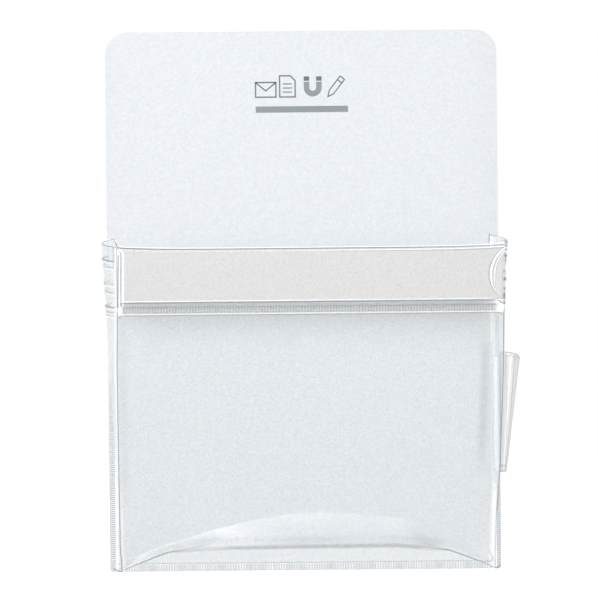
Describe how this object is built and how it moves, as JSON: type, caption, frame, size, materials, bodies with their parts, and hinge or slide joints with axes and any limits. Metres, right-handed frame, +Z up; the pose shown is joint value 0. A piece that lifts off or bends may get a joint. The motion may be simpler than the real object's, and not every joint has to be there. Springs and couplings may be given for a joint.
{
  "type": "magnetic display pocket",
  "caption": "White magnetic wall backing with a clear gusseted film pocket, a label sleeve with a card along its mouth and a pen loop.",
  "frame": {"origin": "centre of the plane in which the magnet strips touch the steel wall, on the middle strip", "axes": "+Z up the wall, +X to the right seen from the front, -Y out of the wall towards the viewer"},
  "size_m": [0.2527, 0.0336, 0.331],
  "materials": {
    "white_pvc": "fine leather grain, satin",
    "magnet_rubber": "matte, dark brown",
    "clear_film": "clear soft film, glossy",
    "weld_film": "clear film pressed with fine ribs",
    "label_paper": "plain card, matte"
  },
  "bodies": {
    "backing": {"backing_sheet": "white_pvc", "magnet_strip_top": "magnet_rubber", "magnet_strip_middle": "magnet_rubber", "magnet_strip_bottom": "magnet_rubber", "left_weld_flange": "weld_film", "right_weld_flange": "weld_film", "bottom_weld_flange": "weld_film", "left_gusset": "clear_film", "right_gusset": "clear_film", "pen_loop": "clear_film"},
    "pocket_front": {"front_film": "clear_film", "label_sleeve": "clear_film", "label_weld_flange": "weld_film"},
    "label_card": {"label_card": "label_paper"}
  },
  "joints": [
    {"name": "pocket_mouth", "type": "hinge", "parent": "backing", "child": "pocket_front", "pos_m": [0.0016, -0.0027, -0.1605], "axis": [1, 0, 0], "range_deg": [-7, 2.5], "stiffness_Nm_per_rad": 0.4, "springref_deg": -0.66, "deforming": ["left_gusset", "right_gusset"]},
    {"name": "card_slide", "type": "slide", "parent": "pocket_front", "child": "label_card", "axis": [1, 0, 0], "range_m": [0, 0.227]}
  ]
}
